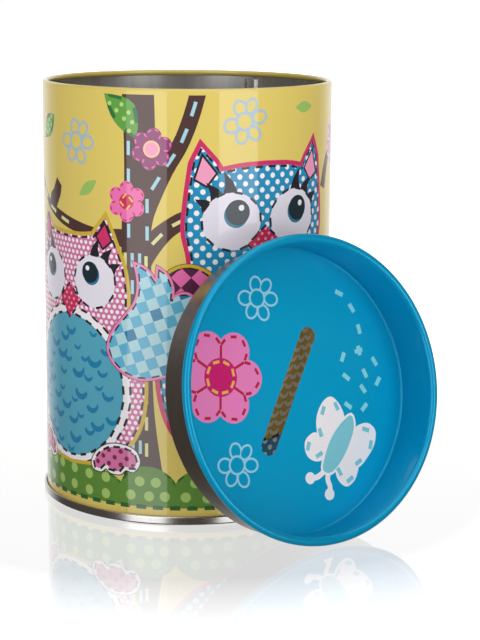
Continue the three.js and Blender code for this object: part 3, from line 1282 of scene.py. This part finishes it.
Value = Union[Wire, Number]


@dataclass
class Built:
    """A node that was added, from which its outputs are read."""

    graph: "Graph"
    node: bpy.types.Node

    def out(self, name: Union[str, int] = 0) -> Wire:
        """One of its outputs."""
        return Wire(self.graph, self.node.outputs[name])


class Graph:
    """The node tree of a material or a world, emptied."""

    def __init__(self, owner: Union[bpy.types.Material, bpy.types.World]) -> None:
        """Empties the owner's tree.

        Args:
            owner: The material or world.
        """
        owner.use_nodes = True
        self.tree = owner.node_tree
        self.tree.nodes.clear()

    def add(self, kind: str, settings: Optional[dict] = None, inputs: Optional[dict] = None) -> Built:
        """Adds a node.

        Args:
            kind: The node's type.
            settings: Its properties, set first.
            inputs: Values or links by socket name or number.

        Returns:
            The node.
        """
        node = self.tree.nodes.new(kind)
        for name, value in (settings or {}).items():
            setattr(node, name, value)
        for name, value in (inputs or {}).items():
            if isinstance(value, Wire):
                self.tree.links.new(value.socket, node.inputs[name])
            else:
                node.inputs[name].default_value = value
        return Built(self, node)

    def close(self, output: str, shader: str, inputs: dict) -> None:
        """Adds the tree's shader and its output.

        Args:
            output: Type of the output node.
            shader: Type of the shader node.
            inputs: The shader's values or links.
        """
        self.add(output, None, {"Surface": self.add(shader, None, inputs).out()})

    def mix(self, factor: Value, first: object, second: object) -> Wire:
        """Mixes two colours, given as values or wires: 0 is the first, 1 the second."""
        return self.add("ShaderNodeMix", {"data_type": "RGBA"}, {0: factor, 6: first, 7: second}).out(2)

    def noise(self, scale: float, detail: float, stretch: Sequence[float] = (1, 1, 1)) -> Wire:
        """Noise over the piece's own coordinates.

        Args:
            scale: Features a metre.
            detail: Octaves.
            stretch: How much the coordinates are scaled along X, Y and Z.

        Returns:
            A value near 0.5.
        """
        where = self.add("ShaderNodeTexCoord").out("Object")
        mapped = self.add("ShaderNodeMapping", None, {"Vector": where, "Scale": stretch}).out()
        inputs = {"Vector": mapped, "Scale": scale, "Detail": detail}
        return self.add("ShaderNodeTexNoise", None, inputs).out()

    def bump(self, height: Wire, distance: float, strength: float, inputs: Optional[dict] = None) -> Wire:
        """A bump.

        Args:
            height: The relief, 0 to 1.
            distance: Its depth in metres.
            strength: How much of it shows.
            inputs: What else is linked to it.

        Returns:
            The normal.
        """
        own = {"Height": height, "Distance": distance, "Strength": strength}
        return self.add("ShaderNodeBump", None, own | (inputs or {})).out()


class Finish:
    """A surface finish: a name, and what its shader is given."""

    name: str

    def inputs(self, g: Graph) -> dict:
        """What the shader is given; each finish has its own."""
        raise NotImplementedError

    def build(self) -> bpy.types.Material:
        """Makes the finish.

        Returns:
            The material.
        """
        material = bpy.data.materials.new(self.name)
        g = Graph(material)
        g.close("ShaderNodeOutputMaterial", "ShaderNodeBsdfPrincipled", self.inputs(g))
        return material


@dataclass(frozen=True)
class PrintedTinplate(Finish):
    """Ink on tinplate under clear varnish; where the ink's alpha is 0 the tin is bare."""

    name: str
    metal_under_ink: float = 0.0  # how much the tin shines through thin ink
    ink_roughness: float = 0.42
    bare_roughness: float = 0.29
    varnish: float = 1.0
    sheen: float = 0.3
    varnish_roughness: float = 0.045

    def inputs(self, g: Graph) -> dict:
        """What the shader is given.

        Args:
            g: The material's tree.

        Returns:
            Values and links by socket name.
        """
        ink = g.add("ShaderNodeAttribute", {"attribute_name": "ink", "attribute_type": "GEOMETRY"})
        colour, printed = ink.out("Color"), ink.out("Alpha")
        grain, cloud, smudge, wave = g.noise(2600, 2), g.noise(28, 3), g.noise(60, 4), g.noise(14, 1)
        lift = g.add("ShaderNodeHueSaturation", None, {
            "Color": colour, "Value": 0.955 + grain * 0.05 + cloud * 0.04, "Saturation": 0.98 + cloud * 0.04,
        }).out()
        rolled = g.noise(420, 3, (1.0, 1.0, 0.04))
        shine = g.mix(rolled, (0.81, 0.81, 0.81, 1), (1.19, 1.19, 1.19, 1))
        tin = g.add("ShaderNodeVectorMath", {"operation": "MULTIPLY"}, {0: colour, 1: shine}).out()
        relief = g.bump(rolled, ROLLED_DEPTH, 0.35)
        rougher = self.ink_roughness - self.bare_roughness
        return {
            "Base Color": g.mix(printed, tin, lift),
            "Metallic": 1.0 - printed * (1.0 - self.metal_under_ink),
            "Roughness": self.bare_roughness + printed * rougher + smudge * 0.06,
            "Coat Weight": printed * self.varnish,
            "Coat Roughness": self.varnish_roughness,
            "Specular IOR Level": self.sheen,
            "Normal": g.bump(wave * (0.25 + printed * 0.75), WAVE_DEPTH, 0.35, {"Normal": relief}),
        }


@dataclass(frozen=True)
class BareTinplate(Finish):
    """Bright tin-plated steel, with fine rolling lines and faint handling marks."""

    name: str
    base: Sequence[float] = (0.66, 0.65, 0.63, 1)
    shade: Sequence[float] = (0.5, 0.495, 0.48, 1)
    roughness: float = 0.16

    def inputs(self, g: Graph) -> dict:
        """What the shader is given.

        Args:
            g: The material's tree.

        Returns:
            Values and links by socket name.
        """
        rolled, smudge = g.noise(900, 3, (1.0, 0.06, 1.0)), g.noise(75, 5)
        return {
            "Base Color": g.mix(rolled * 0.5 + smudge * 0.5, self.shade, self.base),
            "Metallic": 1.0,
            "Roughness": self.roughness + smudge * 0.14,
            "Normal": g.bump(rolled, ROLLED_DEPTH, 0.4),
        }


@dataclass(frozen=True)
class StudioWhite(Finish):
    """The floor's polished white board, which glows by its own emission as painted light: dimmer near the tin
    as a painted shade, and brighter away from it.
    """

    axis: Vector
    name: str = "studio_white"
    near: float = 0.105  # metres from the axis up to which its painted shade holds
    far: float = 0.146  # metres from the axis beyond which its painted glow is full
    painted_shade: float = 0.66
    bright: float = 1.04

    def inputs(self, g: Graph) -> dict:
        """What the shader is given.

        Args:
            g: The material's tree.

        Returns:
            Values and links by socket name.
        """
        where = g.add("ShaderNodeTexCoord").out("Object")
        away = g.add("ShaderNodeVectorMath", {"operation": "DISTANCE"}, {0: where, 1: self.axis}).out("Value")
        # painted light: the floor's own glow, dimmed near the tin as a painted shade
        glow = g.add("ShaderNodeMapRange", {"clamp": True}, {
            "Value": away, "From Min": self.near, "From Max": self.far, "To Min": self.painted_shade,
            "To Max": self.bright,
        }).out()
        return {
            "Base Color": (0.12, 0.12, 0.12, 1), "Roughness": 0.025, "IOR": 2.3,
            "Emission Color": g.add("ShaderNodeCombineColor", None, {0: glow, 1: glow, 2: glow}).out(),
            "Emission Strength": 1.0,
        }


# ---- sub-assemblies


def axis_of_can() -> Vector:
    """Where the can's axis meets the floor, from the seamed end's CAD box."""
    low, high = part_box("bottom_end")
    return Vector(((low.x + high.x) / 2, (low.y + high.y) / 2, low.z))


@dataclass
class Can:
    """The can: a printed body with its curl and side seam, and the seamed bottom end."""

    axis: Vector
    print_finish: bpy.types.Material
    bare_finish: bpy.types.Material
    seam_turn: float = math.radians(TIN.lock_turn - 360)

    @property
    def place(self) -> Matrix:
        """From the can's millimetres to the row frame."""
        return Matrix.Translation(self.axis) @ Matrix.Diagonal((MM, MM, MM, 1))

    def body_line(self) -> tuple[list[Station], list[Station], list[Station]]:
        """Works out the body sheet's middle line.

        Returns:
            The bottom hook, the straight wall's two ends and the mouth's curl.
        """
        turn = TIN.layer
        low = TIN.sheet + TIN.seam_gap + TIN.half + turn
        top = TIN.seam_height - TIN.half - TIN.layer - TIN.seam_gap
        hook_start = Station(TIN.body_mid + 2 * TIN.layer, top, math.radians(-90))
        hook = [hook_start, *bend(TIN.body_mid + TIN.layer, low, turn, 0, -180, 22.5)]
        curl_size = TIN.top_curl / 2 - TIN.half
        curl = bend(TIN.crest, TIN.height - TIN.top_curl / 2, curl_size, 0, 290)
        return hook, [hook[-1], curl[0]], curl

    def build_body(self) -> bpy.types.Object:
        """Makes the printed body.

        Returns:
            The object.
        """
        hook, wall, curl = self.body_line()
        low, high = wall[0].height, wall[1].height
        piece = Pressing("printed_body", self.seam_turn)
        outside = ((hook, -1, BARE), (curl, -1, Ink.YELLOW.linear()))
        for line, side, ink in (*outside, *((line, 1, BARE) for line in (hook, wall, curl))):
            piece.spin(line, side, ink)
        for station in (hook[0], curl[-1]):
            piece.close_edge(station)
        picture = WallPrint(low, high, self.seam_turn * TIN.body_radius)
        columns = [picture.start + TIN.girth * k / TIN.columns for k in range(TIN.columns + 1)]
        piece.lay_print(
            picture, [((u, low), (u, high)) for u in columns],
            lambda u, v: rim_point(TIN.body_radius, u / TIN.body_radius, v),
        )
        return piece.finish(self.place, lambda co: Vector((co.x, co.y, 0)).normalized(), self.print_finish)

    def build_seam(self) -> bpy.types.Object:
        """Makes the folded layers of the side seam, on the inside of the wall.

        Returns:
            The object.
        """
        low = TIN.end_recess + TIN.sheet + TIN.bead_rise + 1.0
        high = TIN.height - TIN.top_curl - 1.0
        width, sheet = TIN.lock_width, TIN.sheet
        bm = bmesh.new()
        wall = TIN.body_radius - sheet
        folds = ((-width / 2, width / 2 - 0.5, 0.02, sheet), (-width / 2 + 0.45, width / 2, sheet, 3 * sheet))
        for left, right, near, far in folds:
            turns = [(left + (right - left) * k / 4) / wall + self.seam_turn for k in range(5)]
            ring = [(wall - far, t) for t in turns] + [(wall - near, t) for t in turns[::-1]]
            face = bm.faces.new([bm.verts.new(rim_point(radius, t, low)) for radius, t in ring])
            grown = bmesh.ops.extrude_face_region(bm, geom=[face])
            top = [v for v in grown["geom"] if isinstance(v, bmesh.types.BMVert)]
            bmesh.ops.translate(bm, verts=top, vec=(0, 0, high - low))
        bmesh.ops.recalc_face_normals(bm, faces=bm.faces)
        sharp = [e for e in bm.edges if e.is_manifold and e.calc_face_angle() > math.radians(50)]
        bmesh.ops.bevel(bm, geom=sharp, offset=0.1, segments=3, profile=0.5, affect="EDGES", material=-1)
        for face in bm.faces:
            face.smooth = True
        bmesh.ops.transform(bm, matrix=self.place, verts=bm.verts)
        return add_piece("folded_side_seam", bm, self.bare_finish)

    def build_end(self) -> bpy.types.Object:
        """Makes the seamed bottom end.

        Returns:
            The object.
        """
        chuck, wall = TIN.body_mid - TIN.layer, TIN.body_mid + 3 * TIN.layer
        panel, corner, foot = TIN.end_recess + TIN.half, TIN.end_corner, TIN.seam_corner
        bead, rise = chuck - TIN.bead_inset, TIN.bead_rise
        hook_turn = (wall - TIN.body_mid - TIN.layer) / 2
        hook_height = TIN.seam_height - TIN.half - hook_turn
        hook_end = TIN.sheet + TIN.seam_gap + TIN.half + TIN.layer + TIN.seam_gap
        line = [
            Station(0.0, panel + rise, 0.0),
            *bend(bead - 2 * rise, panel, rise, 90, 45),
            *bend(bead - 2 * rise + rise * math.sqrt(2), panel + rise * math.sqrt(2), rise, 225, 270),
            *bend(chuck - corner, panel - corner, corner, 90, 0),
            *bend(chuck + foot, TIN.half + foot, foot, 180, 270),
            *bend(wall - foot, TIN.half + foot, foot, -90, 0),
            *bend(TIN.body_mid + TIN.layer + hook_turn, hook_height, hook_turn, 0, 180),
            Station(TIN.body_mid + TIN.layer, hook_end, math.radians(-90)),
        ]
        piece = Pressing("seamed_bottom_end", self.seam_turn)
        for side in (1, -1):
            piece.spin(line, side, BARE)
        piece.close_edge(line[-1])
        return piece.finish(self.place, lambda co: Vector((0, 0, 1)), self.bare_finish)

    def build(self) -> None:
        """Makes the can's pieces and lets them ride on its body."""
        body = self.build_body()
        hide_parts("body_shell")
        seam = self.build_seam()
        end = self.build_end()
        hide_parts("bottom_end")
        for piece in (body, seam, end):
            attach(piece, "can")
            log.info("%s: %d faces", piece.name, len(piece.data.polygons))


@dataclass
class Lid:
    """The plug lid: a printed recessed panel with the coin slot, a plug wall and an outward curl."""

    axis: Vector
    print_finish: bpy.types.Material

    @property
    def place(self) -> Matrix:
        """Works out where the lid leans on the can's wall, standing on its edge.

        Returns:
            From the lid's millimetres to the row frame.
        """
        lean = math.radians(TIN.lean)
        edge = TIN.lid_corner + TIN.half
        depth, radius = TIN.lid_depth - edge, TIN.plug_mid + TIN.half - edge
        out = TIN.body_radius + TIN.lean_gap + edge + depth * math.cos(lean) + radius * math.sin(lean)
        up = edge + depth * math.sin(lean) + radius * math.cos(lean)
        spot = self.axis + Vector((0, -out, up)) * MM
        turn = Matrix.Rotation(math.pi / 2 - lean, 4, "X")
        return Matrix.Translation(spot) @ turn @ Matrix.Diagonal((MM, MM, MM, 1))

    def build(self) -> None:
        """Makes the lid and lets it ride on its body."""
        panel = TIN.half - TIN.lid_depth
        corner = TIN.lid_corner
        curl_size = TIN.crest - TIN.plug_mid
        bottom = bend(TIN.plug_mid - corner, panel + corner, corner, -90, 0)
        curl = bend(TIN.crest, 0.0, curl_size, 180, -115)
        line = bottom + curl
        piece = Pressing("plug_lid")
        picture = LidPrint(bottom[0].radius)
        piece.spin(line, 1, Ink.LID_WALL.linear())
        # the lid's back takes the darkened tinplate colour, a painted reflection of dark surroundings
        for part in (bottom, [bottom[-1], curl[0]], curl):
            piece.spin(part, -1, BARE_LID_PAINTED_REFLECTION)
        piece.close_edge(line[-1])
        piece.lay_print(picture, [], lambda x, y: Vector((x, y, panel + TIN.half)))
        # the back of the panel in the same darkened colour, a painted reflection
        back = Print([picture.patches[0], picture.patches[-1]])
        piece.lay_print(back, [], lambda x, y: Vector((x, y, panel - TIN.half)), BARE_LID_PAINTED_REFLECTION)
        self.close_slot(piece)
        made = piece.finish(self.place, lambda co: Vector((0, 0, 1)), self.print_finish)
        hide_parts("lid")
        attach(made, "lid")
        log.info("%s: %d faces", made.name, len(made.data.polygons))

    def close_slot(self, piece: Pressing) -> None:
        """Joins the slot's two edges through the sheet.

        Args:
            piece: The lid, with both faces of its panel laid.
        """
        bmesh.ops.remove_doubles(piece.bm, verts=piece.bm.verts, dist=WELD / MM)
        rim = [e for e in piece.bm.edges
               if e.is_boundary and all(v.co.xy.length < TIN.slot_length for v in e.verts)]
        made = bmesh.ops.bridge_loops(piece.bm, edges=rim)
        for face in made["faces"]:
            piece.paint(face, Kind.CUT, BARE)


# ---- studio


@dataclass(frozen=True)
class Studio:
    """Camera, floor and light. Turns are degrees from the camera's direction, positive to its right."""

    axis: Vector
    camera_turn: float = -33.0
    camera_distance: float = 0.6469
    camera_height: float = 0.1885
    pitch: float = 11.24
    yaw: float = 1.66
    roll: float = 0.40
    lens: float = 104.55
    table_radius: float = 0.185
    floor_sides: int = 96

    def build(self) -> None:
        """Makes everything that isn't the tin."""
        self.camera()
        floor = self.floor()
        self.world()
        lights = (
            self.light("strip_left", -31.3, 0.95, 0.27, (0.54, 1.2), 2.2),
            self.light("strip_right", 39.5, 0.95, 0.27, (0.53, 1.2), 2.2),
            self.light("overhead", 20.0, 0.25, 1.15, (1.5, 1.5), 1.2),
        )
        for item in lights:
            item.light_linking.receiver_collection = floor

    def around(self, turn: float, distance: float, height: float) -> Vector:
        """A place round the can, at a turn from the camera's direction."""
        return self.axis + rim_point(distance, math.radians(self.camera_turn + turn), height)

    def camera(self) -> None:
        """Makes the camera."""
        data = bpy.data.cameras.new("camera")
        data.lens, data.sensor_width = self.lens, 36.0
        data.clip_start, data.clip_end = 0.01, 50.0
        made = add_object("camera", data)
        aim = Matrix.Rotation(math.radians(self.camera_turn - self.yaw), 4, "Z")
        tilt = Matrix.Rotation(math.radians(90 - self.pitch), 4, "X")
        turn = aim @ tilt @ Matrix.Rotation(math.radians(self.roll), 4, "Z")
        spot = self.around(0, self.camera_distance, self.camera_height)
        made.matrix_world = Matrix.Translation(spot) @ turn
        bpy.context.scene.camera = made

    def floor(self) -> bpy.types.Collection:
        """Makes the floor: a round table top, and a wide board round it, neither seen in reflections.

        Returns:
            The floor's pieces, marked as left out, for a light that isn't to fall on them.
        """
        white = StudioWhite(self.axis).build()
        left_out = bpy.data.collections.new("floor_left_out")
        turns = [2 * math.pi * k / self.floor_sides for k in range(self.floor_sides)]
        for name, radii in (("table_top", [self.table_radius]), ("floor_board", [6.0, self.table_radius])):
            bm = bmesh.new()
            rings = [[bm.verts.new(rim_point(radius, turn)) for turn in turns] for radius in radii]
            if len(rings) == 1:
                bm.faces.new(rings[0])
            else:
                edges = [bm.edges.new(ends) for ring in rings for ends in zip(ring, ring[1:] + ring[:1])]
                bmesh.ops.bridge_loops(bm, edges=edges)
            bm.normal_update()
            for face in bm.faces:
                if face.normal.z < 0:
                    face.normal_flip()
            made = add_piece(name, bm, white)
            made.visible_glossy = False
            left_out.objects.link(made)
        for item in left_out.collection_objects:
            item.light_linking.link_state = "EXCLUDE"
        return left_out

    def world(self) -> None:
        """Makes the surroundings: bright behind the tin, dim on the camera's side, white to the camera."""
        world = bpy.data.worlds.new("studio")
        bpy.context.scene.world = world
        g = Graph(world)
        behind = rim_point(1.0, math.radians(self.camera_turn + 180))
        where = g.add("ShaderNodeTexCoord").out("Generated")
        dot = g.add("ShaderNodeVectorMath", {"operation": "DOT_PRODUCT"}, {0: where, 1: behind})
        bright = g.add("ShaderNodeMapRange", {"clamp": True}, {
            "Value": dot.out("Value"), "From Min": 0.55, "From Max": 0.86, "To Min": 0.0, "To Max": 1.0,
        }).out()
        direct = g.add("ShaderNodeLightPath").out("Is Camera Ray")
        dim = (0.092, 0.076, 0.067, 1)
        shade = g.mix(direct, g.mix(bright, dim, (1, 1, 1, 1)), (1, 1, 1, 1))
        g.close("ShaderNodeOutputWorld", "ShaderNodeBackground", {"Color": shade, "Strength": 1.0})

    def light(
        self, name: str, turn: float, distance: float, height: float, size: Point, radiance: float,
    ) -> bpy.types.Object:
        """Makes a soft box that faces the tin.

        Args:
            name: Its name.
            turn: Degrees from the camera's direction.
            distance: From the can's axis.
            height: Its middle above the floor.
            size: Its width and height.
            radiance: How bright it looks, where 1 is white.

        Returns:
            The light.
        """
        data = bpy.data.lights.new(name, "AREA")
        data.shape, data.size, data.size_y = "RECTANGLE", size[0], size[1]
        data.energy = radiance * math.pi * size[0] * size[1]
        made = add_object(name, data)
        spot = self.around(turn, distance, height)
        target = self.axis + Vector((0, 0, height if height < 0.5 else 0.07))
        turned = (spot - target).to_track_quat("Z", "Y").to_matrix().to_4x4()
        made.matrix_world = Matrix.Translation(spot) @ turned
        made.visible_camera = False
        return made


def main() -> None:
    """Builds the tin and its studio."""
    logging.basicConfig(level=logging.INFO, format="%(name)s: %(message)s")
    bpy.context.scene.view_settings.view_transform = "Standard"
    axis = axis_of_can()
    Studio(axis).build()
    wall_finish = PrintedTinplate("printed_tinplate").build()
    lid_finish = PrintedTinplate(
        "lid_enamel", metal_under_ink=0.3, ink_roughness=0.3, varnish=0.3, sheen=0.1,
    ).build()
    bare = BareTinplate("bare_tinplate").build()
    Can(axis, wall_finish, bare).build()
    Lid(axis, lid_finish).build()


if __name__ == "__main__":
    main()
